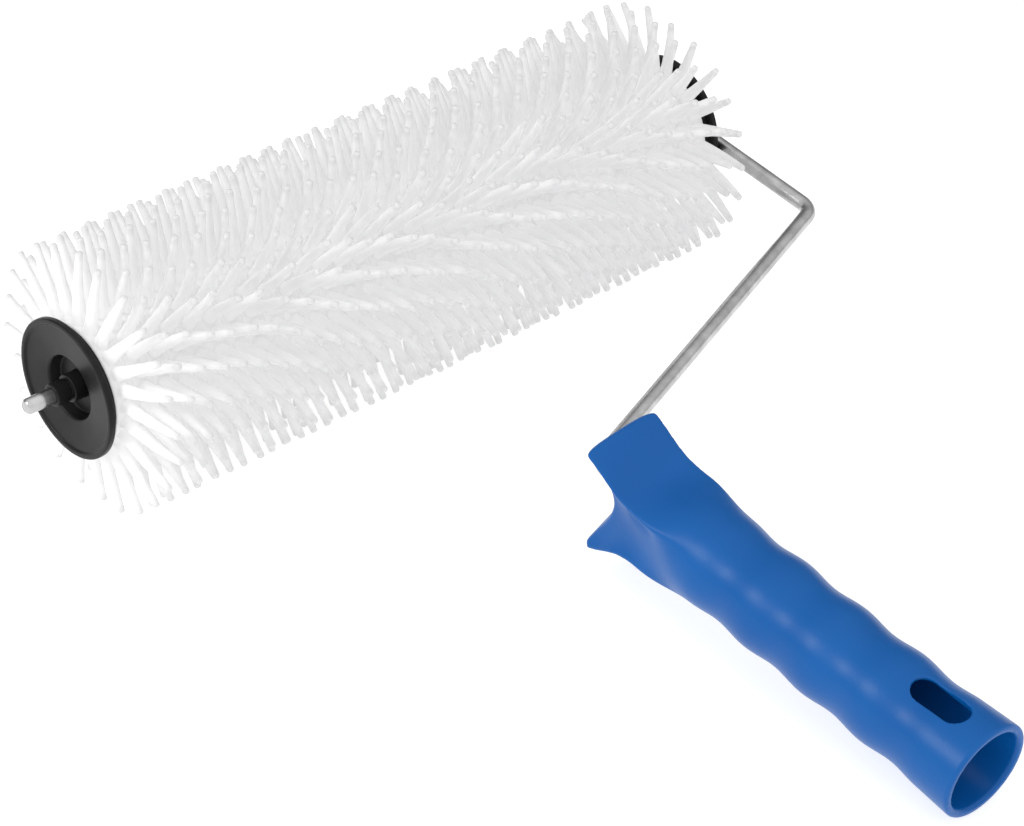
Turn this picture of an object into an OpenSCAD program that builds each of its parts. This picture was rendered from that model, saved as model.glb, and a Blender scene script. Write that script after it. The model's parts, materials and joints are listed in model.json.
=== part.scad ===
// Spiked roller on a bent wire frame with a hollow plastic grip.
// Drawn with the roller's axis along X and the frame flat in XY, then tipped so that
// the spikes and the grip's tail both rest on the floor.

/* [Roller] */
// Length over the two end flanges
roller_len = 249; // [245:1:252]
// Radius to the tips of the spikes
spike_tip_r = 43.4; // [36:0.1:50]
// Number of spike rings
ring_count = 34; // [34:1:34]
// Spikes round each ring
spikes_per_ring = 24; // [16:1:26]
// Outer radius of the ring band that carries the spikes
band_r = 20.4; // [20.2:0.1:21.4]
// Radius of a spike where it leaves the band
spike_root_r = 2.1; // [1.6:0.1:2.3]
// Radius of a spike near its tip
spike_end_r = 1.1; // [0.8:0.1:1.3]
// Turn of each ring on from the one before it
ring_turn = 4.13; // [0:0.01:15]

/* [Core and ends] */
// Outer radius of the core tube
core_r = 19; // [18.8:0.1:19]
// Wall of the core tube
core_wall = 1.6; // [1.2:0.1:2.4]
// Radius of an end cap's flange
flange_r = 22.5; // [22.3:0.1:24]
// Thickness of an end cap's flange
flange_t = 2; // [1.6:0.1:2.4]
// Outer radius of a bearing bush
bush_r = 4.4; // [4.2:0.05:4.55]

/* [Wire frame] */
// Diameter of the wire
wire_d = 5; // [4.8:0.1:5]
// Distance from the roller's middle to the side leg
leg_x = 127.6; // [127.6:0.1:134]
// Length of the side leg
leg_len = 63.6; // [56:0.1:80]
// Distance from the roller's axis to the bend before the grip
neck_y = 115.6; // [112:0.1:117]
// Inside-to-centre radius of the wire's bends
bend_r = 6.5; // [5:0.5:6.5]
// Bare wire beyond the end flange
wire_end = 14.3; // [9:0.1:20]

/* [Grip] */
// Sideways place of the grip's axis, from the roller's middle
grip_x = -15.8; // [-20:0.1:0]
// Distance from the roller's axis to the grip's front tips
grip_front = 122; // [121:0.1:130]
// Length of the grip
grip_len = 150; // [140:0.1:160]
// Mean radius of the round stretch
grip_r = 14.45; // [14.4:0.05:16]
// Height of the finger waves
wave_h = 0.5; // [0:0.1:0.8]
// Half width of the front flare
flare_w = 14; // [12:0.5:15]
// Half height of the front flare
flare_h = 20.4; // [18:0.1:21]
// Turn of the grip about its own axis
grip_roll = 8; // [0:1:12]
// Radius of the socket for an extension pole
socket_r = 12.75; // [12:0.05:12.75]
// Depth of the socket
socket_len = 67; // [50:1:70]
// Width of the hanging slot
slot_w = 8.8; // [6:0.1:9]
// Length of the hanging slot
slot_len = 19.6; // [14:0.1:22]

/* [Hidden] */
$fn = 64;
wire_r = wire_d / 2;
running_gap = 0.05;
half_len = roller_len / 2;
shoulder_t = 2;
stack_len = roller_len - 2 * (flange_t + shoulder_t);
ring_pitch = stack_len / ring_count;
spike_step = 360 / spikes_per_ring;
ring_bore_r = core_r + running_gap;

// End cap, measured inwards from the flange's outer face
well_depth = 5.4;
well_r = 9.6;
hub_end = 22;
floor_t = 2.2;
spigot_len = 16;
spigot_t = 2;
spigot_r = core_r - core_wall - running_gap;
shoulder_r = core_r + 1;
left_nose_gap = 0.8;
right_nose_gap = 5.4;
collar_r = 3.6;
collar_near = 0.5 - left_nose_gap;
collar_len = 5.1;
washer_r = 6.5;
washer_t = 1.2;
washer_x = half_len - 5;

// Grip, measured from its front tips
tail_r = 15.6;
tail_y = grip_front + grip_len;
wave_pitch = 22.9;
wave_crest = 69;
wave_end = 137.4;
flare_end = 48;
loft_end = 50;
waist_w = 8;
front_setback = 9;
tip_round = 2.2;
crown = 0.4;
quarter_steps = 6;
tang_end = 69;
slot_from_tail = 18.4;
front_rings = [0, 1, 2.6, 4.5, 7, 10, 13.5, 17, 21, 25, 29, 33, 37, 41, 44.5, flare_end, loft_end];

// Resting posture: spike tips and the tail's lowest edge both touch the floor
tilt = asin(spike_tip_r / norm([tail_y, tail_r])) - atan(tail_r / tail_y);
x_low = -half_len - wire_end;
x_high = leg_x + wire_r;
y_low = -tail_y * cos(tilt) - tail_r * sin(tilt);
y_high = spike_tip_r;

function two_digits(i) = i < 10 ? str("0", i) : str(i);
ring_names = [for (i = [1 : ring_count]) str("spike_ring_", two_digits(i))];

// ---------------------------------------------------------------- placing

// From the drawing frame to the resting posture, centred over the floor
module rest() {
    translate([-(x_low + x_high) / 2, -(y_low + y_high) / 2, spike_tip_r])
        rotate([tilt, 0, 0])
            children();
}

// Turns a shape drawn about Z so that its Z runs outwards along X, from the end face
module at_end(side) {
    translate([side * half_len, 0, 0])
        rotate([0, side * 90, 0])
            children();
}

// ---------------------------------------------------------------- roller

module core_tube() {
    color("gainsboro") rest() rotate([0, 90, 0]) difference() {
        cylinder(h = stack_len, r = core_r, center = true);
        cylinder(h = roller_len, r = core_r - core_wall, center = true);
    }
}

module end_cap(side) {
    color([0.16, 0.16, 0.17]) rest() at_end(side) rotate_extrude() polygon([
        [bush_r + running_gap, -hub_end],
        [bush_r + 1.8, -hub_end],
        [bush_r + 1.8, -well_depth - floor_t],
        [well_r + 1.8, -well_depth - floor_t],
        [well_r + 1.8, -3.8],
        [spigot_r - spigot_t, -3.6],
        [spigot_r - spigot_t, -spigot_len],
        [spigot_r, -spigot_len],
        [spigot_r, -flange_t - shoulder_t],
        [shoulder_r, -flange_t - shoulder_t],
        [shoulder_r, -flange_t],
        [flange_r, -flange_t],
        [flange_r, -0.5],
        [flange_r - 0.5, 0],
        [flange_r - 1.7, 0],
        [flange_r - 2.3, -0.7],
        [well_r + 0.8, -1.5],
        [well_r + 0.2, -1.9],
        [well_r - 0.2, -well_depth],
        [bush_r + running_gap, -well_depth]
    ]);
}

// A plain bearing bush with its shoulder inside the hub
module bush(side, nose_gap) {
    color([0.2, 0.2, 0.21]) rest() at_end(side) rotate_extrude() polygon([
        [wire_r + running_gap, -hub_end - 1.5],
        [bush_r + 1.5, -hub_end - 1.5],
        [bush_r + 1.5, -hub_end],
        [bush_r, -hub_end],
        [bush_r, -nose_gap - 0.3],
        [bush_r - 0.3, -nose_gap],
        [wire_r + running_gap, -nose_gap]
    ]);
}

// One tapered, blunt spike, standing along Z from the roller's axis and rooted in the band
module spike() {
    root_depth = 0.6;
    translate([0, 0, band_r - root_depth])
        cylinder(h = spike_tip_r - band_r + root_depth, r1 = spike_root_r, r2 = spike_end_r);
}

// The rings were slid on by hand, so their spikes step round with a slow swing
function ring_phase(i) = ring_turn * i + 1.8 * sin(40 * i) - 0.6;

module spike_ring(i) {
    flat = spike_step / 2;
    color("white") rest()
        translate([-stack_len / 2 + ring_pitch * (i - 0.5), 0, 0])
            rotate([ring_phase(i), 0, 0])
                union() {
                    rotate([0, 90, 0]) linear_extrude(height = ring_pitch, center = true) difference() {
                        polygon([for (k = [0 : spikes_per_ring - 1])
                            band_r / cos(flat) * [cos(spike_step * k + flat), sin(spike_step * k + flat)]]);
                        circle(r = ring_bore_r);
                    }
                    for (k = [0 : spikes_per_ring - 1])
                        rotate([spike_step * k, 0, 0]) spike();
                }
}

// ---------------------------------------------------------------- frame

// A straight length of wire from one point to another in the frame's plane
module wire_run(from, to) {
    run = to - from;
    translate([from[0], from[1], 0])
        rotate([0, 0, atan2(run[1], run[0])])
            rotate([0, 90, 0])
                cylinder(h = norm(run), r = wire_r);
}

// A bend at a corner, entered along one heading and left after a turn (left is positive).
// Bending thins the wire a little, and the bend runs a few degrees into each straight.
module wire_bend(corner, heading, turn) {
    thinning = 0.05;
    lap = 3;
    side = sign(turn);
    tangent = bend_r * tan(abs(turn) / 2);
    centre = corner - tangent * [cos(heading), sin(heading)]
        + side * bend_r * [-sin(heading), cos(heading)];
    translate([centre[0], centre[1], 0])
        rotate([0, 0, heading - 90 * side + min(turn, 0) - lap])
            rotate_extrude(angle = abs(turn) + 2 * lap)
                translate([bend_r, 0]) circle(r = wire_r - thinning);
}

module wire_frame() {
    leg_corner = [leg_x, 0];
    side_corner = [leg_x, -leg_len];
    neck = [grip_x, -neck_y];
    slant = atan2(neck[1] - side_corner[1], neck[0] - side_corner[0]);
    along = [cos(slant), sin(slant)];
    turn = -90 - slant;
    tangent = bend_r * tan(abs(turn) / 2);
    tip = 0.8;
    color("silver") rest() union() {
        translate([x_low, 0, 0]) rotate([0, 90, 0]) cylinder(h = tip, r1 = wire_r - tip, r2 = wire_r);
        wire_run([x_low + tip, 0], [leg_x - bend_r, 0]);
        wire_bend(leg_corner, 0, -90);
        wire_run([leg_x, -bend_r], side_corner + [0, tangent]);
        wire_bend(side_corner, -90, -turn);
        wire_run(side_corner + tangent * along, neck - tangent * along);
        wire_bend(neck, slant, turn);
        wire_run(neck - [0, tangent], [grip_x, -grip_front - tang_end]);
    }
}

// Sits against the first bend and keeps the roller off it
module stop_washer() {
    color("silver") rest() translate([washer_x, 0, 0]) rotate([0, 90, 0]) difference() {
        cylinder(h = washer_t, r = washer_r);
        translate([0, 0, -1]) cylinder(h = washer_t + 2, r = wire_r);
    }
}

// Pushed onto the bare end of the wire, it keeps the roller on
module retaining_collar() {
    color([0.12, 0.12, 0.13]) rest() at_end(-1) rotate_extrude() polygon([
        [wire_r, collar_near],
        [collar_r, collar_near],
        [collar_r, collar_near + collar_len - 0.5],
        [collar_r - 0.5, collar_near + collar_len],
        [wire_r, collar_near + collar_len]
    ]);
}

// ---------------------------------------------------------------- grip

function eased(t) = t * t * (3 - 2 * t);
function fall(s, from, to) = s <= from ? 1 : s >= to ? 0 : eased((to - s) / (to - from));

// Radius of the round stretch: plain, then shallow finger waves, then a plain tail
function round_r(s) =
    s < wave_crest - wave_pitch
        ? grip_r + wave_h
        : s < wave_end
            ? grip_r + wave_h * cos(360 * (s - wave_crest) / wave_pitch)
            : grip_r + wave_h + (tail_r - grip_r - wave_h) * (s - wave_end) / (grip_len - wave_end);

// Share of the front flare's width, height, waist and flat rest that is left at s
function width_share(s) = fall(s, 27, flare_end);
function height_share(s) = exp(-pow(s / 12, 2));
function waist_share(s) = fall(s, 5, flare_end);
function rest_share(s) = fall(s, 16, 42);
function edge_inset(s) = s < 2.6 ? 1 - 0.085 * (1 - s / 2.6) : 1;

// 0 at a side's middle and 1 at its corner, as a circle has it
function bulge(y) = (1 - sqrt(1 - y * y / 2)) / (1 - sqrt(0.5));

// One quarter of the outline at s, from the top's middle to the side's middle
function quarter(s) =
    let (
        r = round_r(s),
        corner_w = r / sqrt(2) + (flare_w - r / sqrt(2)) * width_share(s),
        corner_h = r / sqrt(2) + (flare_h - crown - r / sqrt(2)) * height_share(s),
        round_h = r + (flare_h - r) * height_share(s),
        top_h = round_h + (corner_h + crown - round_h) * rest_share(s),
        side_w = r + (waist_w - r) * waist_share(s),
        n = quarter_steps
    )
    concat(
        [for (i = [0 : n]) let (x = sin(45 * i / n) * sqrt(2))
            [corner_w * x, top_h - (top_h - corner_h) * bulge(x)]],
        [for (i = [1 : n]) let (y = cos(45 + 45 * i / n) * sqrt(2))
            [side_w + (corner_w - side_w) * bulge(y), corner_h * y]]
    );

// The whole outline at s, one way round
function outline(s) =
    let (q = quarter(s), m = len(q) - 1)
    concat(
        [for (i = [0 : m - 1]) q[i]],
        [for (i = [m : -1 : 1]) [q[i][0], -q[i][1]]],
        [for (i = [0 : m - 1]) -q[i]],
        [for (i = [m : -1 : 1]) [-q[i][0], q[i][1]]]
    );

// The front is forked: its middle is set back from the upper and lower tips,
// and each tip is rounded at its two corners
function setback(s, width, height) =
    front_setback * exp(-s / 10) * (1 - pow(min(abs(height) / flare_h, 1), 1.6))
        + tip_round * exp(-s / 3) * pow(min(abs(width) / flare_w, 1), 6);

function front_ring(s) =
    [for (p = outline(s)) let (q = p * edge_inset(s)) [q[0], q[1], s + setback(s, q[0], q[1])]];

module grip_front_flare() {
    rings = [for (s = front_rings) front_ring(s)];
    sides = len(rings[0]);
    last = len(rings) - 1;
    points = concat([for (r = rings) for (p = r) p], [[0, 0, front_setback], [0, 0, loft_end]]);
    polyhedron(points, concat(
        [for (j = [0 : last - 1]) for (i = [0 : sides - 1]) for (half = [0, 1])
            let (a = j * sides + i, b = j * sides + (i + 1) % sides)
                half == 0 ? [a, b, b + sides] : [a, b + sides, a + sides]],
        [for (i = [0 : sides - 1]) [(last + 1) * sides, (i + 1) % sides, i]],
        [for (i = [0 : sides - 1])
            [(last + 1) * sides + 1, last * sides + i, last * sides + (i + 1) % sides]]
    ));
}

module grip_barrel() {
    steps = 30;
    from = loft_end - 0.4;
    span = grip_len - from;
    rotate_extrude() polygon(concat(
        [[0, grip_len], [0, from]],
        [for (i = [0 : steps - 1]) let (s = from + (span - 0.8) * i / (steps - 1)) [round_r(s), s]],
        [[tail_r - 0.8, grip_len]]
    ));
}

// Through the upper wall only
module hanging_slot() {
    half = slot_len / 2 - slot_w / 2;
    translate([0, 0, grip_len - slot_from_tail]) rotate([-90, 0, 0])
        linear_extrude(height = tail_r + 4) union() {
            square([slot_w, 2 * half], center = true);
            for (end = [-1, 1]) translate([0, end * half]) circle(r = slot_w / 2);
        }
}

module handle_grip() {
    lead = 0.9;
    color([0.10, 0.37, 0.66]) rest()
        translate([grip_x, -grip_front, 0]) rotate([0, -grip_roll, 0]) rotate([90, 0, 0])
            difference() {
                union() {
                    grip_front_flare();
                    grip_barrel();
                }
                translate([0, 0, -1]) cylinder(h = tang_end + 1, r = wire_r);
                translate([0, 0, grip_len - socket_len]) cylinder(h = socket_len + 1, r = socket_r);
                translate([0, 0, grip_len - lead])
                    cylinder(h = lead + 0.2, r1 = socket_r, r2 = socket_r + lead + 0.2);
                hanging_slot();
            }
}

// ---------------------------------------------------------------- assembly

core_tube();
end_cap(-1);  // left_end_cap
end_cap(1);  // right_end_cap
bush(-1, left_nose_gap);  // left_bush
bush(1, right_nose_gap);  // right_bush
for (i = [1 : ring_count])
    spike_ring(i);
wire_frame();
stop_washer();
retaining_collar();
handle_grip();
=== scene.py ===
# %% [markdown]
# # A spiked roller on a bent wire, with a moulded grip
#
# A spiked roller is pushed through wet floor compound. Hundreds of blunt plastic spikes
# prick the air out of it before it sets. This lesson dresses a finished CAD model of one:
# the CAD gives the frame, the sizes and the turning axis, and every piece below is built
# around those. The order is frame, helpers, camera, room, then one piece at a time, from
# the spikes to the grip.

import json
import math
import random

import bpy
import numpy as np
from mathutils import Matrix, Vector


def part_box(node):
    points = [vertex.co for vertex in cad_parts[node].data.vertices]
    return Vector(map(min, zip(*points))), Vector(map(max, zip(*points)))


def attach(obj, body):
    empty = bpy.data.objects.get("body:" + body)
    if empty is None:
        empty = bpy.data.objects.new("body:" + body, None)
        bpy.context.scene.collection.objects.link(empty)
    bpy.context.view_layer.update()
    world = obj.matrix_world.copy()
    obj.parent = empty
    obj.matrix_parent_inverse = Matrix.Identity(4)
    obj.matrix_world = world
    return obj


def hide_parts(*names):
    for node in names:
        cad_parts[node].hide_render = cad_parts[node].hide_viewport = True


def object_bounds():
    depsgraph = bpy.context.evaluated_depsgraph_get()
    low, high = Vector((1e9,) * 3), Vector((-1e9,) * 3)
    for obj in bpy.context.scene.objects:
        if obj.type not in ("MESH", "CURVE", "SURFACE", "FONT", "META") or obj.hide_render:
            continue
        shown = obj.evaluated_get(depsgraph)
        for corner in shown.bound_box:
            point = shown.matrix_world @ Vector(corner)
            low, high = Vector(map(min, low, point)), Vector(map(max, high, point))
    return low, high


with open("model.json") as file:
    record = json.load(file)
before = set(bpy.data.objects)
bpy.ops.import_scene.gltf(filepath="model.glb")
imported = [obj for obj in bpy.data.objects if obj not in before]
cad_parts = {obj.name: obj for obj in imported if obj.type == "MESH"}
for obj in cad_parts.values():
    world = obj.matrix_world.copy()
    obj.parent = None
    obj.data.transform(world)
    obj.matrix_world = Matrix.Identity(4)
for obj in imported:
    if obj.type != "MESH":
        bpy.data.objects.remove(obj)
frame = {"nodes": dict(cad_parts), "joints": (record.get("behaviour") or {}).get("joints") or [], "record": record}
cad_low, cad_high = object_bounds()
MM = 0.001
print("CAD box", [round(x, 4) for x in cad_low], [round(x, 4) for x in cad_high])

# %% [markdown]
# ## Where the roller lies
#
# The tool rests on its spike tips and on the tail of its grip, so the whole of it is tipped
# a little about the roller's axis. It is far easier to draw it level and tip it afterwards.
# The frame says where the turning axis is, and the pole socket's axis says how far the
# tool is tipped. Every piece is drawn level, in millimetres, with the roller's middle at
# zero, X along the axle and the grip towards -Y. `settle` then carries it to its place.

# %% Drawing level, then settling
spin_joint = next(j for j in frame["joints"] if j["name"] == "roller_spin")
socket = next(m for m in frame["record"]["mounts"] if m["name"] == "pole_socket")
roller_middle = Vector(spin_joint["pos_m"])
tilt = math.atan2(-socket["axis"][2], -socket["axis"][1])
SETTLE = Matrix.Translation(roller_middle) @ Matrix.Rotation(tilt, 4, "X")


def settle(points):
    """Level drawing points in millimetres, carried to the frame in metres."""
    turned = np.asarray(points, float) * MM @ np.array(SETTLE.to_3x3()).T
    return turned + np.array(roller_middle)


def ends_of(node):
    """A CAD node's two ends along the axle, in the level drawing's millimetres."""
    low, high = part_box(node)
    return (low.x - roller_middle.x) / MM, (high.x - roller_middle.x) / MM


print("tipped by", round(math.degrees(tilt), 2), "degrees")

# %% [markdown]
# ## A piece from points and faces
#
# Most pieces here are regular, such as a ring of spikes, a turned cap or a bent wire. A mesh
# can be spun or swept with modifiers, or its points can be worked out by a rule. The rule
# is used here, because it puts every edge loop exactly where the shape needs it.

# %% Making a piece
def make_piece(name, points, faces, material, body, stands_for):
    """One smooth mesh in its place, riding on its body and standing for its CAD nodes."""
    mesh = bpy.data.meshes.new(name)
    mesh.from_pydata([tuple(p) for p in settle(points)], [], faces)
    mesh.validate()
    mesh.shade_smooth()
    mesh.materials.append(material)
    piece = bpy.data.objects.new(name, mesh)
    bpy.context.scene.collection.objects.link(piece)
    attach(piece, body)
    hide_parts(*stands_for)
    return piece


def tube_faces(rings, sides, closed=False):
    """Quads between rings of points, each ring the same number of sides."""
    count = rings if closed else rings - 1
    return [
        (
            j * sides + i,
            j * sides + (i + 1) % sides,
            (j + 1) % rings * sides + (i + 1) % sides,
            (j + 1) % rings * sides + i,
        )
        for j in range(count)
        for i in range(sides)
    ]


# %% [markdown]
# ## Camera
#
# A long tool is best shown from well back with a long lens, so that its near end and its
# far end keep nearly the same scale. The camera stands to the left of the grip, looks down
# at about 40 degrees, and is rolled by a few degrees. A camera could be aimed by a
# constraint, but its direction and its right-hand side are given here, because they hold
# the roll as well. Both, and its place, are in the level drawing, from the roller's middle.

# %% Camera
CAMERA_PLACE = (-596.7, -633.7, 661.8)
CAMERA_LOOKS = (0.5556, 0.5311, -0.6397)
CAMERA_RIGHT = (0.7447, -0.6600, 0.0989)
LENS = 121.7

looks = (SETTLE.to_3x3() @ Vector(CAMERA_LOOKS)).normalized()
right = (SETTLE.to_3x3() @ Vector(CAMERA_RIGHT)).normalized()
upwards = right.cross(looks).normalized()
right = looks.cross(upwards)
turn = Matrix((right, upwards, -looks)).transposed().to_4x4()
camera_data = bpy.data.cameras.new("camera")
camera_data.lens = LENS
camera_data.clip_start = 0.05
camera = bpy.data.objects.new("camera", camera_data)
camera.matrix_world = Matrix.Translation(settle([CAMERA_PLACE])[0]) @ turn
bpy.context.scene.collection.objects.link(camera)
bpy.context.scene.camera = camera
print("camera at", [round(x, 3) for x in camera.matrix_world.translation])

# %% [markdown]
# ## Room
#
# White spikes on a white ground are hard to light: too much light and they melt into the
# floor. The ground is a light table, as catalogue tables are: a pale sheet lit from below,
# which goes clean white, takes out nearly all of the cast shadow, and fills the undersides.
# Above it is a sky that is bright in front and dim behind, so that the wire and the blue
# grip have something darker to mirror along their upper edges. Panels and flags could do
# that too, but a graded sky lights a field of spikes more evenly, with no hard shadows.

# %% Sky
SKY_STRENGTH = 1.2
BRIGHT_SIDE = (-0.36, -0.66, 0.66)
SKY_TONES = [(-0.36, 0.22), (0.05, 0.70), (0.50, 1.10), (1.0, 1.18)]

scene = bpy.context.scene
scene.view_settings.view_transform = "Standard"
scene.view_settings.look = "None"
world = bpy.data.worlds.new("soft sky")
world.use_nodes = True
sky_nodes, sky_links = world.node_tree.nodes, world.node_tree.links
sky_place = sky_nodes.new("ShaderNodeTexCoord")
toward = sky_nodes.new("ShaderNodeVectorMath")
toward.operation = "DOT_PRODUCT"
toward.inputs[1].default_value = BRIGHT_SIDE
sky_links.new(sky_place.outputs["Generated"], toward.inputs[0])
spread = sky_nodes.new("ShaderNodeMapRange")
spread.inputs["From Min"].default_value = -1.0
spread.inputs["From Max"].default_value = 1.0
sky_links.new(toward.outputs["Value"], spread.inputs["Value"])
tones = sky_nodes.new("ShaderNodeValToRGB")
ramp = tones.color_ramp
while len(ramp.elements) < len(SKY_TONES):
    ramp.elements.new(0.5)
for stop, (at, tone) in zip(ramp.elements, SKY_TONES, strict=True):
    stop.position = (at + 1) / 2
    stop.color = (tone / SKY_STRENGTH, tone / SKY_STRENGTH, tone / SKY_STRENGTH, 1)
sky_links.new(spread.outputs["Result"], tones.inputs["Fac"])
background = sky_nodes["Background"]
sky_links.new(tones.outputs["Color"], background.inputs["Color"])
background.inputs["Strength"].default_value = SKY_STRENGTH
scene.world = world
print("sky from", SKY_TONES[0][1], "behind to", SKY_TONES[-1][1], "in front")

# %% [markdown]
# One lamp to the left gives the grip its row of soft highlights, one on the crest of each
# wave. It is small and bright, so that it shows in a glossy skin but adds little to the
# white spikes.

# %% Lamp and light table
KEY_PLACE = (-0.92, 0.37, 0.68)
KEY_AIM = (0.0, -0.08, 0.03)
KEY_SIZE = 0.38
KEY_POWER = 3.6
TABLE_SIZE = 6.0


def soft_lamp(name, place, aim, size, power):
    """A square area lamp of that size in metres, aimed at a point."""
    data = bpy.data.lights.new(name, "AREA")
    data.shape = "SQUARE"
    data.size = size
    data.energy = power
    lamp = bpy.data.objects.new(name, data)
    lamp.location = place
    lamp.rotation_mode = "QUATERNION"
    lamp.rotation_quaternion = (Vector(aim) - Vector(place)).to_track_quat("-Z", "Y")
    scene.collection.objects.link(lamp)
    return lamp


key_lamp = soft_lamp("key lamp", KEY_PLACE, KEY_AIM, KEY_SIZE, KEY_POWER)

floor_mesh = bpy.data.meshes.new("floor")
half = TABLE_SIZE / 2
floor_mesh.from_pydata(
    [(-half, -half, 0), (half, -half, 0), (half, half, 0), (-half, half, 0)], [], [(0, 1, 2, 3)]
)
floor = bpy.data.objects.new("floor", floor_mesh)
floor.location.z = cad_low.z - 0.0002
scene.collection.objects.link(floor)
print(key_lamp.name, "of", KEY_POWER, "W over a table", TABLE_SIZE, "m wide")

# %% [markdown]
# ## Materials
#
# Five finishes make up the tool. Each is one principled shader. Its colour gets a faint
# drift from noise, because a moulded or plated surface is never one flat tone, and its
# surface gets a fine bump at the real scale of the process: the orange peel of a mould, or
# the long scratches of a wire-drawing die. Numbers that are the same all over are set on
# the shader itself.

# %% A shader with a drifting colour and a fine bump
def drifting(name, dark, light, scale, roughness, bump_scale, bump_depth, stretch=(1, 1, 1)):
    """A principled material whose colour drifts between two tones, with a noise bump."""
    material = bpy.data.materials.new(name)
    material.use_nodes = True
    nodes, links = material.node_tree.nodes, material.node_tree.links
    shader = nodes["Principled BSDF"]
    place = nodes.new("ShaderNodeTexCoord")
    drift = nodes.new("ShaderNodeTexNoise")
    drift.inputs["Scale"].default_value = scale
    drift.inputs["Detail"].default_value = 4
    links.new(place.outputs["Object"], drift.inputs["Vector"])
    tones = nodes.new("ShaderNodeValToRGB")
    tones.color_ramp.elements[0].position = 0.3
    tones.color_ramp.elements[0].color = (*dark, 1)
    tones.color_ramp.elements[1].position = 0.7
    tones.color_ramp.elements[1].color = (*light, 1)
    links.new(drift.outputs["Fac"], tones.inputs["Fac"])
    links.new(tones.outputs["Color"], shader.inputs["Base Color"])
    squeeze = nodes.new("ShaderNodeMapping")
    squeeze.inputs["Scale"].default_value = stretch
    links.new(place.outputs["Object"], squeeze.inputs["Vector"])
    grain = nodes.new("ShaderNodeTexNoise")
    grain.inputs["Scale"].default_value = bump_scale
    grain.inputs["Detail"].default_value = 3
    links.new(squeeze.outputs["Vector"], grain.inputs["Vector"])
    bump = nodes.new("ShaderNodeBump")
    bump.inputs["Strength"].default_value = 1.0
    bump.inputs["Distance"].default_value = bump_depth
    links.new(grain.outputs["Fac"], bump.inputs["Height"])
    links.new(bump.outputs["Normal"], shader.inputs["Normal"])
    shader.inputs["Roughness"].default_value = roughness
    return material, shader


# %% [markdown]
# ### White nylon
#
# Nylon spikes are milky: light goes a little way in and comes out softened, which lifts the
# shaded sides. A share of subsurface scattering does this. On top of that, light and shade
# are painted into the colour by distance from the axle. The tips catch the most light and
# are painted a shade greyer, and the roots and band sit in shade and are painted lighter.
# The roots and the band also get a painted glow, a faint emission that fills the shade deep
# between the spikes. Both keep the field even, where its own depths would else go dark.

# %% White nylon
ROOT_AT = 0.020
TIP_AT = 0.0434
SHAFT_SHARE = 0.85
# Painted light and shade: the roots are painted lighter and the tips darker, by distance from the axle.
ROOT_PAINTED_LIGHT = (0.86, 0.86, 0.86)
SHAFT_PAINTED_TONE = (0.80, 0.80, 0.80)
TIP_PAINTED_SHADE = (0.62, 0.62, 0.62)
# Painted glow: a faint emission at the roots and band that lifts the shade between the spikes.
PAINTED_ROOT_GLOW = 0.13

nylon, shader = drifting(
    "white nylon", (0.94, 0.94, 0.94), (1.0, 1.0, 1.0), 90, 0.5, 900, 0.00003
)
nodes, links = nylon.node_tree.nodes, nylon.node_tree.links
place = nodes.new("ShaderNodeTexCoord")
from_axle = nodes.new("ShaderNodeVectorMath")
from_axle.operation = "SUBTRACT"
from_axle.inputs[1].default_value = tuple(roller_middle)
links.new(place.outputs["Object"], from_axle.inputs[0])
across = nodes.new("ShaderNodeVectorMath")
across.operation = "MULTIPLY"
across.inputs[1].default_value = (0.0, 1.0, 1.0)
links.new(from_axle.outputs["Vector"], across.inputs[0])
distance = nodes.new("ShaderNodeVectorMath")
distance.operation = "LENGTH"
links.new(across.outputs["Vector"], distance.inputs[0])
reach = nodes.new("ShaderNodeMapRange")
reach.inputs["From Min"].default_value = ROOT_AT
reach.inputs["From Max"].default_value = TIP_AT
links.new(distance.outputs["Value"], reach.inputs["Value"])
# The painted light-and-shade ramp, lighter at the root and greyer at the tip.
painted_shade_ramp = nodes.new("ShaderNodeValToRGB")
painted_shade_ramp.color_ramp.elements[0].color = (*ROOT_PAINTED_LIGHT, 1)
painted_shade_ramp.color_ramp.elements[1].color = (*TIP_PAINTED_SHADE, 1)
painted_shade_ramp.color_ramp.elements.new(SHAFT_SHARE).color = (*SHAFT_PAINTED_TONE, 1)
links.new(reach.outputs["Result"], painted_shade_ramp.inputs["Fac"])
toned = nodes.new("ShaderNodeMix")
toned.data_type = "RGBA"
toned.blend_type = "MULTIPLY"
toned.inputs["Factor"].default_value = 1.0
links.new(painted_shade_ramp.outputs["Color"], toned.inputs["A"])
links.new(shader.inputs["Base Color"].links[0].from_socket, toned.inputs["B"])
links.new(toned.outputs["Result"], shader.inputs["Base Color"])
# The painted glow, strongest at the band and gone by the tips.
painted_glow_ramp = nodes.new("ShaderNodeMapRange")
painted_glow_ramp.inputs["To Min"].default_value = PAINTED_ROOT_GLOW
painted_glow_ramp.inputs["To Max"].default_value = 0.0
links.new(reach.outputs["Result"], painted_glow_ramp.inputs["Value"])
links.new(painted_glow_ramp.outputs["Result"], shader.inputs["Emission Strength"])
shader.inputs["Emission Color"].default_value = (1.0, 1.0, 1.0, 1.0)
shader.inputs["Subsurface Weight"].default_value = 0.5
shader.inputs["Subsurface Radius"].default_value = (1.0, 1.0, 1.0)
shader.inputs["Subsurface Scale"].default_value = 0.005
shader.inputs["Specular IOR Level"].default_value = 0.25
print(nylon.name, "runs from", ROOT_PAINTED_LIGHT[0], "at the root to", TIP_PAINTED_SHADE[0], "at the tip")

# %% [markdown]
# ### Black plastic
#
# The caps are moulded in glass-filled black plastic, with a satin skin. Black is never
# quite black: the skin's own sheen shows the sky as a dark grey. The colour could be made
# paler instead, but then the shaded well would be as grey as the lit rim, so the colour
# stays near black and the sheen does the rest.

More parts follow.
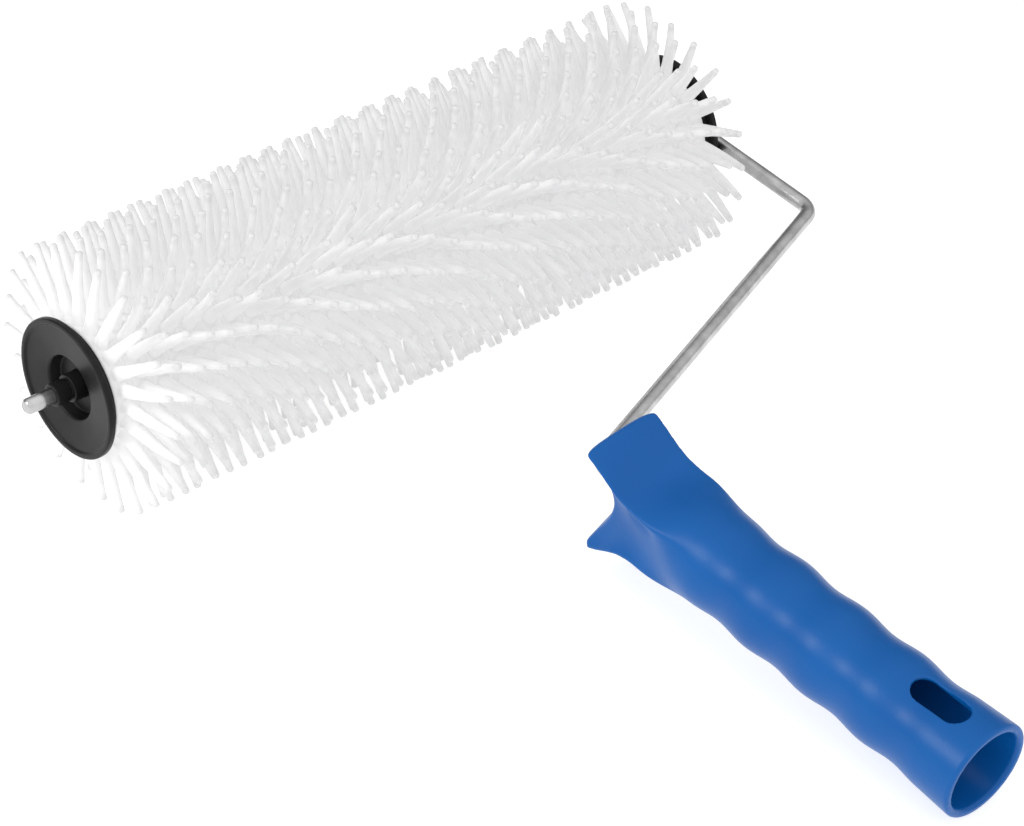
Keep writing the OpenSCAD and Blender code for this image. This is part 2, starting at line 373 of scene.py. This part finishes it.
# %% Black plastic
black, shader = drifting(
    "black plastic", (0.006, 0.006, 0.006), (0.012, 0.012, 0.012), 140, 0.36, 1500, 0.00002
)
shader.inputs["Specular IOR Level"].default_value = 0.16
print(black.name, "roughness", round(shader.inputs["Roughness"].default_value, 2))

# %% [markdown]
# ### Plated wire
#
# Steel wire is pulled through a die and then zinc plated. The die leaves fine scratches
# along the wire, and the plating clouds them, so the highlight is long and soft. A painted
# scratch map could show that. Here the bump's noise is stretched along the axle instead,
# which draws out its grains at any distance.

# %% Plated wire
zinc, shader = drifting(
    "plated wire", (0.40, 0.40, 0.40), (0.60, 0.60, 0.60), 160, 0.24, 900, 0.00004, (0.15, 1, 1)
)
shader.inputs["Metallic"].default_value = 1.0
print(zinc.name, "roughness", round(shader.inputs["Roughness"].default_value, 2))

# %% [markdown]
# ### Blue plastic
#
# The grip is moulded polypropylene in a strong blue. It has a semi-gloss skin with a very
# slight orange peel, and its highlights are broad and pale. A clear coat would give sharp
# ones, so the skin is a single layer of middling roughness.

# %% Blue plastic
blue, shader = drifting(
    "blue plastic", (0.001, 0.084, 0.320), (0.002, 0.101, 0.363), 25, 0.34, 450, 0.00005
)
shader.inputs["Specular IOR Level"].default_value = 0.22
print(blue.name, "roughness", round(shader.inputs["Roughness"].default_value, 2))

# %% [markdown]
# ### Core tube and light table
#
# The core tube is plain pale plastic pipe. The light table's sheet scatters light evenly
# and has no sheen. Its own glow could come from lamps below it, but a little emission in
# the sheet does the same with no noise.

# %% Core tube and light table
TABLE_GLOW = 0.66

grey, shader = drifting(
    "core tube plastic", (0.70, 0.71, 0.71), (0.78, 0.79, 0.79), 70, 0.5, 800, 0.00003
)
sheet, shader = drifting(
    "light table", (0.54, 0.54, 0.54), (0.56, 0.56, 0.56), 3, 0.9, 200, 0.00002
)
shader.inputs["Emission Color"].default_value = (1.0, 1.0, 1.0, 1.0)
shader.inputs["Emission Strength"].default_value = TABLE_GLOW
shader.inputs["Specular IOR Level"].default_value = 0.0
floor_mesh.materials.append(sheet)
print("materials", [m.name for m in bpy.data.materials])

# %% [markdown]
# ## Spike rings
#
# The cover is a stack of moulded rings slid onto a core tube. Each ring is a narrow band
# with 24 spikes. One spike could be modelled and copied with an array, but real spikes are
# not identical: each leans and curls by a hair as it cools and gets packed. So each ring is
# worked out in one go, as a table of heights and radii for the spike's outline, which is
# laid round a bent centreline.

# %% The outline of a spike
BAND_R = 20.4
TIP_R = 43.35
SPIKES = 24
SPIKE_SIDES = 12
SHAFT_LOOPS = 7
TIP_CURVE = 2.2
ROOT_FLARE = [(-0.35, 2.75), (0.0, 2.5), (0.45, 2.22)]
ROOT_R = 2.1
END_R = 1.12
TIP_CAP = [(0.80, 1.0), (0.35, 0.86), (0.10, 0.52)]

shaft = [
    (BAND_R + 1 + (TIP_R - TIP_CURVE - BAND_R) * t, ROOT_R + (END_R - ROOT_R) * t)
    for t in np.linspace(0, 1, SHAFT_LOOPS)
]
outline = (
    [(BAND_R + up, r) for up, r in ROOT_FLARE]
    + shaft
    + [(TIP_R - down, END_R * share) for down, share in TIP_CAP]
)
print("a spike has", len(outline), "loops of", SPIKE_SIDES)

# %% [markdown]
# The centreline leaves the band straight and curls more towards the tip, as a cantilever
# does, so its sideways shift grows with the square of the height.

# %% One spike
def spike(angle, lean_along, lean_round):
    """Points and faces of a spike at an angle about the axle, its tip shifted in mm."""
    outward = np.array([0.0, math.sin(angle), math.cos(angle)])
    around = np.array([0.0, math.cos(angle), -math.sin(angle)])
    along = np.array([1.0, 0.0, 0.0])
    sweep = 2 * np.pi * np.arange(SPIKE_SIDES) / SPIKE_SIDES
    points = []
    for height, radius in outline:
        share = max(0.0, (height - BAND_R) / (TIP_R - BAND_R)) ** 2
        centre = outward * height + (along * lean_along + around * lean_round) * share
        points.append(
            centre
            + radius * np.outer(np.cos(sweep), along)
            + radius * np.outer(np.sin(sweep), around)
        )
    tip = outward * TIP_R + along * lean_along + around * lean_round
    points = np.vstack([*points, tip])
    tip_at = len(points) - 1
    last = tip_at - SPIKE_SIDES
    faces = tube_faces(len(outline), SPIKE_SIDES)
    faces += [(last + i, last + (i + 1) % SPIKE_SIDES, tip_at) for i in range(SPIKE_SIDES)]
    return points, faces


# %% [markdown]
# The band is a short tube with its outer edges broken, so that a fine groove shows between
# one ring and the next. A bevel modifier would break them too, but the two extra points in
# the outline cost nothing.

# %% The band
BORE_R = 19.05
BAND_SIDES = 96
BROKEN_EDGE = 0.3
BAND_GAP = 0.01


def band(width):
    """Points and faces of a ring's band of that width, centred on zero."""
    w = width / 2 - BAND_GAP
    profile = [(BORE_R, -w), (BAND_R - BROKEN_EDGE, -w), (BAND_R, -w + BROKEN_EDGE)]
    profile += [(r, -x) for r, x in reversed(profile)]
    sweep = 2 * np.pi * np.arange(BAND_SIDES) / BAND_SIDES
    points = np.vstack(
        [
            np.column_stack([np.full(BAND_SIDES, x), r * np.sin(sweep), r * np.cos(sweep)])
            for r, x in profile
        ]
    )
    return points, tube_faces(len(profile), BAND_SIDES, closed=True)


# %% [markdown]
# The rings were slid on by hand. Each steps round from the last by about four degrees, with
# a slow swing, which is what draws the slanting rows across the roller. The spikes of the
# last ring at each end lean a little inwards, because nothing stands beside them.

# %% All the rings
RING_TURN = 4.13
RING_START = -0.6
RING_SWING = 1.8
SWING_STEP = 40
LEAN_ALONG = 0.55
LEAN_ROUND = 0.7
END_LEAN_IN = 1.5

ring_nodes = sorted(n for n in frame["nodes"] if n.startswith("spike_ring_"))
stack_low, stack_high = ends_of(ring_nodes[0])[0], ends_of(ring_nodes[-1])[1]
end_leans = {1: END_LEAN_IN, len(ring_nodes): -END_LEAN_IN}
pitch = (stack_high - stack_low) / len(ring_nodes)
draw = random.Random(11)
for number, node in enumerate(ring_nodes, start=1):
    middle = stack_low + pitch * (number - 0.5)
    swing = RING_SWING * math.sin(math.radians(SWING_STEP * number))
    phase = math.radians(RING_TURN * number + swing + RING_START)
    points, faces = band(pitch)
    for k in range(SPIKES):
        angle = -phase + 2 * math.pi * k / SPIKES
        lean = draw.gauss(0, LEAN_ALONG) + end_leans.get(number, 0.0)
        more, more_faces = spike(angle, lean, draw.gauss(0, LEAN_ROUND))
        faces += [tuple(i + len(points) for i in f) for f in more_faces]
        points = np.vstack([points, more])
    points = points + np.array([middle, 0, 0])
    make_piece(f"nylon_{node}", points, faces, nylon, "roller", [node])
print(len(ring_nodes), "rings of", SPIKES, "spikes")

# %% [markdown]
# ## Turned pieces
#
# The caps, bushes, collar and washer are all round about the axle. Each is a closed outline
# spun in a full turn. A moulded edge is never sharp, so the outline's corners are first
# rounded with small arcs, which is what catches the light along a rim.

# %% Rounding an outline and spinning it
def rounded(corners, steps=4):
    """A closed outline of (r, z, fillet) corners, with an arc at each corner."""
    out = []
    for i, (r, z, fillet) in enumerate(corners):
        here = Vector((r, z))
        before = Vector(corners[i - 1][:2]) - here
        after = Vector(corners[(i + 1) % len(corners)][:2]) - here
        reach = min(fillet, before.length * 0.45, after.length * 0.45)
        a, b = here + before.normalized() * reach, here + after.normalized() * reach
        for k in range(steps + 1):
            t = k / steps
            out.append((1 - t) ** 2 * a + 2 * t * (1 - t) * here + t**2 * b)
    return out


def spun(corners, side, sides=128):
    """The outline spun about the axle. Its z runs outwards from that end's face."""
    end_x = end_faces[side]
    profile = rounded(corners)
    sweep = 2 * np.pi * np.arange(sides) / sides
    points = np.vstack(
        [
            np.column_stack(
                [
                    np.full(sides, end_x + side * p.y),
                    p.x * np.sin(sweep),
                    side * p.x * np.cos(sweep),
                ]
            )
            for p in profile
        ]
    )
    return points, tube_faces(len(profile), sides, closed=True)


end_faces = {-1: ends_of("left_end_cap")[0], 1: ends_of("right_end_cap")[1]}
print("end faces at", {k: round(v, 2) for k, v in end_faces.items()})

# %% [markdown]
# ### End caps
#
# A cap closes the core tube and holds the bush. It has a raised rim, a dished face, and a
# well round the hub. Its spigot goes inside the tube, out of sight, but it is made all the
# same, because the model is looked at from every side and may be taken apart.

# %% End caps
FLANGE_R = 22.5
FLANGE_T = 2.0
SHOULDER_R = 20.0
SHOULDER_T = 2.0
WELL_R = 9.6
WELL_DEPTH = 5.4
WELL_BACK = 7.6
WALL = 1.8
BUSH_R = 4.4
HUB_END = 22
SPIGOT_R = 17.35
SPIGOT_WALL = 2
SPIGOT_END = 16

cap_corners = [
    (BUSH_R + 0.05, -HUB_END, 0.2),
    (BUSH_R + WALL, -HUB_END, 0.4),
    (BUSH_R + WALL, -WELL_BACK, 0.6),
    (WELL_R + WALL, -WELL_BACK, 0.6),
    (WELL_R + WALL, -3.8, 0.5),
    (SPIGOT_R - SPIGOT_WALL, -3.6, 0.5),
    (SPIGOT_R - SPIGOT_WALL, -SPIGOT_END, 0.3),
    (SPIGOT_R, -SPIGOT_END, 0.4),
    (SPIGOT_R, -FLANGE_T - SHOULDER_T, 0.1),
    (SHOULDER_R, -FLANGE_T - SHOULDER_T, 0.2),
    (SHOULDER_R, -FLANGE_T, 0.1),
    (FLANGE_R, -FLANGE_T, 0.3),
    (FLANGE_R, 0, 0.6),
    (FLANGE_R - 1.7, 0, 0.4),
    (FLANGE_R - 2.3, -0.7, 0.4),
    (WELL_R + 0.8, -1.5, 0.7),
    (WELL_R - 0.2, -WELL_DEPTH, 0.5),
    (BUSH_R + 0.05, -WELL_DEPTH, 0.15),
]
for side, node in ((-1, "left_end_cap"), (1, "right_end_cap")):
    points, faces = spun(cap_corners, side)
    make_piece(f"moulded_{node}", points, faces, black, "roller", [node])
print("caps", 2 * FLANGE_R, "mm across, wells", WELL_DEPTH, "mm deep")

# %% [markdown]
# ### Bushes, collar and washer
#
# The wire turns in two plain bushes. On the left a collar pushed onto the wire keeps the
# roller on, and on the right a plated washer keeps it off the bend. Plain cylinders would
# nearly do, but their sharp edges would look cut out of paper, so they are spun as well.

# %% Bushes, collar and washer
BORE = 2.55
WIRE_R = 2.5
LEFT_NOSE = -0.8
RIGHT_NOSE = -5.4
COLLAR_R = 3.6
COLLAR_LEN = 5.1
WASHER_R = 6.5
BUSH_LIP = 1.5
BUSH_END = 23.5

for side, node, nose in ((-1, "left_bush", LEFT_NOSE), (1, "right_bush", RIGHT_NOSE)):
    bush_corners = [
        (BORE, -BUSH_END, 0.15),
        (BUSH_R + BUSH_LIP, -BUSH_END, 0.3),
        (BUSH_R + BUSH_LIP, -HUB_END, 0.2),
        (BUSH_R, -HUB_END, 0.1),
        (BUSH_R, nose, 0.4),
        (BORE, nose, 0.25),
    ]
    points, faces = spun(bush_corners, side)
    make_piece(f"moulded_{node}", points, faces, black, "roller", [node])

collar_near = 0.5 + LEFT_NOSE
collar_corners = [
    (WIRE_R, collar_near, 0.1),
    (COLLAR_R, collar_near, 0.3),
    (COLLAR_R, collar_near + COLLAR_LEN, 0.7),
    (WIRE_R, collar_near + COLLAR_LEN, 0.3),
]
points, faces = spun(collar_corners, -1)
make_piece(
    "moulded_collar", points, faces, black, "frame", ["retaining_collar"]
)

washer_left, washer_right = ends_of("stop_washer")
washer_corners = [
    (WIRE_R, washer_left - end_faces[1], 0.1),
    (WASHER_R, washer_left - end_faces[1], 0.2),
    (WASHER_R, washer_right - end_faces[1], 0.35),
    (WIRE_R, washer_right - end_faces[1], 0.1),
]
points, faces = spun(washer_corners, 1)
make_piece("plated_washer", points, faces, zinc, "frame", ["stop_washer"])
print("washer", round(washer_right - washer_left, 2), "mm thick")

# %% [markdown]
# ## Wire frame
#
# One length of wire is the axle, the side leg, the slanted leg and the tang inside the
# grip. A curve with a round bevel would do, but a swept mesh gives the chamfered end and
# even loops in the bends. The route is a list of straight stretches with a round bend at
# each corner.

# %% The route of the wire
LEG_X = 127.6
LEG_LEN = 63.6
NECK_Y = 115.6
GRIP_X = -15.8
GRIP_FRONT = 122.0
GRIP_LEN = 150.0
TANG_END = 69.0
BEND_R = 6.5
wire_start = ends_of("wire_frame")[0]

wire_corners = [
    (wire_start, 0.0),
    (LEG_X, 0.0),
    (LEG_X, -LEG_LEN),
    (GRIP_X, -NECK_Y),
    (GRIP_X, -GRIP_FRONT - TANG_END),
]


def bent_route(corners, bend_r, step_deg=5.0, straight_step=6.0):
    """Centre points of a wire through the corners, each corner bent to that radius."""
    corners = [Vector(c) for c in corners]
    route = [corners[0]]
    for before, here, after in zip(corners, corners[1:], corners[2:], strict=False):
        way_in = (here - before).normalized()
        way_out = (after - here).normalized()
        bend = -way_in.angle_signed(way_out)
        reach = bend_r * math.tan(abs(bend) / 2)
        start = here - way_in * reach
        side = math.copysign(1, bend)
        pivot = start + Vector((-way_in.y, way_in.x)) * bend_r * side
        count = max(1, round((start - route[-1]).length / straight_step))
        route += [route[-1].lerp(start, k / count) for k in range(1, count + 1)]
        steps = max(2, round(math.degrees(abs(bend)) / step_deg))
        arm = start - pivot
        for k in range(1, steps + 1):
            route.append(pivot + Matrix.Rotation(bend * k / steps, 2) @ arm)
    count = round((corners[-1] - route[-1]).length / straight_step)
    route += [route[-1].lerp(corners[-1], k / count) for k in range(1, count + 1)]
    return route


route = bent_route(wire_corners, BEND_R)
print("the wire is", round(sum((b - a).length for a, b in zip(route, route[1:]))), "mm long")

# %% [markdown]
# The bare end of the wire is chamfered so that the collar can be pushed on, so the first
# few loops grow from a small flat to the full radius.

# %% Sweeping the wire
CHAMFER = 0.8
WIRE_SIDES = 40

start = route[0]
heading = (route[1] - start).normalized()
stations = [
    (start, heading, WIRE_R - CHAMFER),
    (start + heading * 0.15, heading, WIRE_R - 0.6),
    (start + heading * CHAMFER, heading, WIRE_R - 0.02),
]
for k in range(1, len(route)):
    ahead = route[min(k + 1, len(route) - 1)] - route[k - 1]
    stations.append((route[k], ahead.normalized(), WIRE_R))

sweep = 2 * np.pi * np.arange(WIRE_SIDES) / WIRE_SIDES
loops = [
    np.column_stack(
        [
            p.x - d.y * r * np.cos(sweep),
            p.y + d.x * r * np.cos(sweep),
            r * np.sin(sweep),
        ]
    )
    for p, d, r in stations
]
points = np.vstack(loops)
faces = tube_faces(len(loops), WIRE_SIDES)
faces.append(tuple(reversed(range(WIRE_SIDES))))
faces.append(tuple(range(len(points) - WIRE_SIDES, len(points))))
make_piece("drawn_wire_frame", points, faces, zinc, "frame", ["wire_frame"])
print("wire swept in", len(loops), "loops")

# %% [markdown]
# ## Grip
#
# The grip starts as a fork: an upper rest for the thumb and a lower guard for the fingers,
# with a waist between them. It runs back into a round barrel with shallow waves, and ends
# in an open socket for a pole, with a slot to hang it by. Box modelling would take many
# loops to hold the ridge along the side. It is lofted by a rule here: one quarter of the
# section has a top, a corner and a side, and each of these blends to a circle on its own
# schedule along the length.

# %% The grip's section along its length
GRIP_R = 14.45
WAVE_H = 0.5
WAVE_PITCH = 22.9
WAVE_CREST = 69.0
WAVE_END = 137.4
TAIL_R = 15.6
FLARE_W, FLARE_H, WAIST_W = 14.0, 20.4, 8.0
CROWN = 0.4
FLARE_END = 48.0


def fall(s, start, end):
    """1 before start, 0 after end, eased between."""
    t = min(1.0, max(0.0, (end - s) / (end - start)))
    return t * t * (3 - 2 * t)


def round_r(s):
    """The barrel's radius: plain, then shallow finger waves, then a plain tail."""
    if s < WAVE_CREST - WAVE_PITCH:
        return GRIP_R + WAVE_H
    if s < WAVE_END:
        return GRIP_R + WAVE_H * math.cos(2 * math.pi * (s - WAVE_CREST) / WAVE_PITCH)
    share = (s - WAVE_END) / (GRIP_LEN - WAVE_END)
    return GRIP_R + WAVE_H + (TAIL_R - GRIP_R - WAVE_H) * share


def bulge(y):
    """0 at a side's middle and 1 at its corner, as a circle has it."""
    return (1 - math.sqrt(1 - y * y / 2)) / (1 - math.sqrt(0.5))


print("barrel from", 2 * (GRIP_R - WAVE_H), "to", 2 * (GRIP_R + WAVE_H), "mm across")

# %% [markdown]
# One quarter is drawn from the top's middle, over the corner, to the side's middle, with
# its points spaced as on a circle so that it can turn into one. The other three quarters
# are its mirrors. Then each point moves a little towards its neighbours a few times, which
# takes the razor edge off the corners.

# %% One quarter of the section, then the whole
QUARTER_STEPS = 20
CORNER_PASSES = 4


def quarter(s):
    """Points from the top's middle to the side's middle at s."""
    r = round_r(s)
    height = math.exp(-((s / 12) ** 2))
    corner_w = r / math.sqrt(2) + (FLARE_W - r / math.sqrt(2)) * fall(s, 27, FLARE_END)
    corner_h = r / math.sqrt(2) + (FLARE_H - CROWN - r / math.sqrt(2)) * height
    round_h = r + (FLARE_H - r) * height
    top_h = round_h + (corner_h + CROWN - round_h) * fall(s, 16, 42)
    side_w = r + (WAIST_W - r) * fall(s, 5, FLARE_END)
    out = []
    for i in range(QUARTER_STEPS + 1):
        x = math.sin(math.pi / 4 * i / QUARTER_STEPS) * math.sqrt(2)
        out.append((corner_w * x, top_h - (top_h - corner_h) * bulge(x)))
    for i in range(1, QUARTER_STEPS + 1):
        y = math.cos(math.pi / 4 * (1 + i / QUARTER_STEPS)) * math.sqrt(2)
        out.append((side_w + (corner_w - side_w) * bulge(y), corner_h * y))
    return out


def section(s):
    """The whole outline at s, once round."""
    q = quarter(s)
    last = len(q) - 1
    across = [q[i] for i in range(last)]
    across += [(q[i][0], -q[i][1]) for i in range(last, 0, -1)]
    loop = np.array(across + [(-x, -y) for x, y in across])
    for _ in range(CORNER_PASSES):
        loop = 0.5 * loop + 0.25 * (np.roll(loop, 1, axis=0) + np.roll(loop, -1, axis=0))
    return loop


# %% [markdown]
# The section is placed along the grip's own axis, which is turned eight degrees from the
# wire's plane, as such a grip often ends up when it is driven onto its tang. Its front is
# set back in the middle, so that the two tips of the fork lead.

# %% The grip's outer skin
GRIP_ROLL = math.radians(8)
SETBACK = 9.0
TIP_ROUND = 2.2
FRONT_EDGE, FRONT_INSET = 2.6, 0.085
TAIL_EDGE, TAIL_INSET = 0.8, 0.05


def grip_place(u, w, s):
    """Level drawing points from across, up and along the grip."""
    u, w, s = (np.asarray(x, float) for x in (u, w, s))
    return np.column_stack(
        [
            GRIP_X + u * math.cos(GRIP_ROLL) - w * math.sin(GRIP_ROLL),
            -GRIP_FRONT - s,
            u * math.sin(GRIP_ROLL) + w * math.cos(GRIP_ROLL),
        ]
    )


def skin_loop(s):
    """The loop at s, with both end edges rolled over and the front's middle set back."""
    inset = 1 - FRONT_INSET * (1 - s / FRONT_EDGE) if s < FRONT_EDGE else 1.0
    edge = GRIP_LEN - s
    inset -= TAIL_INSET * (1 - edge / TAIL_EDGE) ** 2 if edge < TAIL_EDGE else 0.0
    xy = section(s) * inset
    back = SETBACK * math.exp(-s / 10) * (1 - np.minimum(np.abs(xy[:, 1]) / FLARE_H, 1) ** 1.6)
    corner = TIP_ROUND * math.exp(-s / 3) * np.minimum(np.abs(xy[:, 0]) / FLARE_W, 1) ** 6
    return grip_place(xy[:, 0], xy[:, 1], s + back + corner)


along = [0, 0.5, 1.2, 2.0, FRONT_EDGE, 3.2, 4.0, 5, 6.5, 8.2, *np.arange(10, 148.5, 1.4)]
along += [149.2, 149.6, GRIP_LEN]
loops = [skin_loop(s) for s in along]
sides = len(loops[0])
front = grip_place([0], [0], [SETBACK])
tail = grip_place([0], [0], [GRIP_LEN])
skin_points = np.vstack([*loops, front, tail])
skin_faces = [tuple(reversed(f)) for f in tube_faces(len(loops), sides)]
hub = len(loops) * sides
skin_faces += [(hub, (i + 1) % sides, i) for i in range(sides)]
end = (len(loops) - 1) * sides
skin_faces += [(hub + 1, end + i, end + (i + 1) % sides) for i in range(sides)]
print("grip skin", len(skin_points), "points")

# %% [markdown]
# The socket, the slot and the wire's hole are cut out of the skin. A cut leaves razor
# edges, and a mould never does. So the cut body is rebuilt from small cubes of a third of
# a millimetre and smoothed a few times, which rounds every edge by about the radius that
# a toolmaker would leave.

# %% Cutting tools
SOCKET_R = 12.75
SOCKET_LEN = 67.0
SLOT_W = 8.8
SLOT_LEN = 19.6
SLOT_FROM_TAIL = 18.4
TOOL_SIDES = 96
MOUTH_CHAMFER = 1.0


def bare_object(name, points, faces):
    """A plain mesh object in its place, for cutting with."""
    mesh = bpy.data.meshes.new(name)
    mesh.from_pydata([tuple(p) for p in settle(points)], [], faces)
    made = bpy.data.objects.new(name, mesh)
    scene.collection.objects.link(made)
    return made


def face_outwards(solid):
    """Turn every face of a closed mesh outwards, as a cut needs."""
    bpy.context.view_layer.objects.active = solid
    bpy.ops.object.mode_set(mode="EDIT")
    bpy.ops.mesh.select_all(action="SELECT")
    bpy.ops.mesh.normals_make_consistent(inside=False)
    bpy.ops.object.mode_set(mode="OBJECT")


def prism(name, loops):
    """A closed solid through loops of points, for cutting with."""
    count, sides = len(loops), len(loops[0])
    faces = tube_faces(count, sides)
    faces.append(tuple(reversed(range(sides))))
    faces.append(tuple(range((count - 1) * sides, count * sides)))
    solid = bare_object(name, np.vstack(loops), faces)
    face_outwards(solid)
    return solid


sweep = 2 * np.pi * np.arange(TOOL_SIDES) / TOOL_SIDES
bore_stations = [
    (GRIP_LEN - SOCKET_LEN, SOCKET_R),
    (GRIP_LEN - MOUTH_CHAMFER, SOCKET_R),
    (GRIP_LEN + 0.4, SOCKET_R + MOUTH_CHAMFER),
]
hole_stations = [(-2, WIRE_R), (TANG_END, WIRE_R)]
socket_tool, hole_tool = (
    prism(
        name,
        [
            grip_place(r * np.cos(sweep), r * np.sin(sweep), np.full(TOOL_SIDES, s))
            for s, r in stations_along
        ],
    )
    for name, stations_along in (("socket tool", bore_stations), ("wire hole tool", hole_stations))
)
straight = SLOT_LEN / 2 - SLOT_W / 2
slot_u = SLOT_W / 2 * np.cos(sweep)
slot_s = SLOT_W / 2 * np.sin(sweep) + np.where(np.sin(sweep) >= 0, straight, -straight)
slot_tool = prism(
    "slot tool",
    [
        grip_place(slot_u, np.full(TOOL_SIDES, w), GRIP_LEN - SLOT_FROM_TAIL + slot_s)
        for w in (0, 20)
    ],
)
cutting_tools = (socket_tool, hole_tool, slot_tool)
print("cutting tools", [t.name for t in cutting_tools])

# %% Cutting, rebuilding and smoothing the grip
GRAIN = 0.0003
SOFTEN_PASSES = 10

grip = bare_object("moulded_handle_grip", skin_points, skin_faces)
face_outwards(grip)
for tool in cutting_tools:
    cut = grip.modifiers.new(tool.name, "BOOLEAN")
    cut.operation = "DIFFERENCE"
    cut.solver = "EXACT"
    cut.object = tool
rebuild = grip.modifiers.new("rebuild", "REMESH")
rebuild.mode = "VOXEL"
rebuild.voxel_size = GRAIN
soften = grip.modifiers.new("soften", "SMOOTH")
soften.factor = 0.5
soften.iterations = SOFTEN_PASSES

evaluated = grip.evaluated_get(bpy.context.evaluated_depsgraph_get())
finished = bpy.data.meshes.new_from_object(evaluated)
grip.modifiers.clear()
grip.data = finished
finished.shade_smooth()
finished.materials.append(blue)
for tool in cutting_tools:
    bpy.data.objects.remove(tool)
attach(grip, "frame")
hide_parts("handle_grip")
print("grip", len(finished.polygons), "faces")

# %% [markdown]
# ## Core tube
#
# The core tube is plain and its CAD shape is right as it is, so it stays and only gets its
# finish. It is all but hidden by the rings round it.

# %% Core tube
tube = frame["nodes"]["core_tube"]
tube.data.materials.clear()
tube.data.materials.append(grey)
tube.data.shade_smooth()
print("core tube finished in", grey.name)
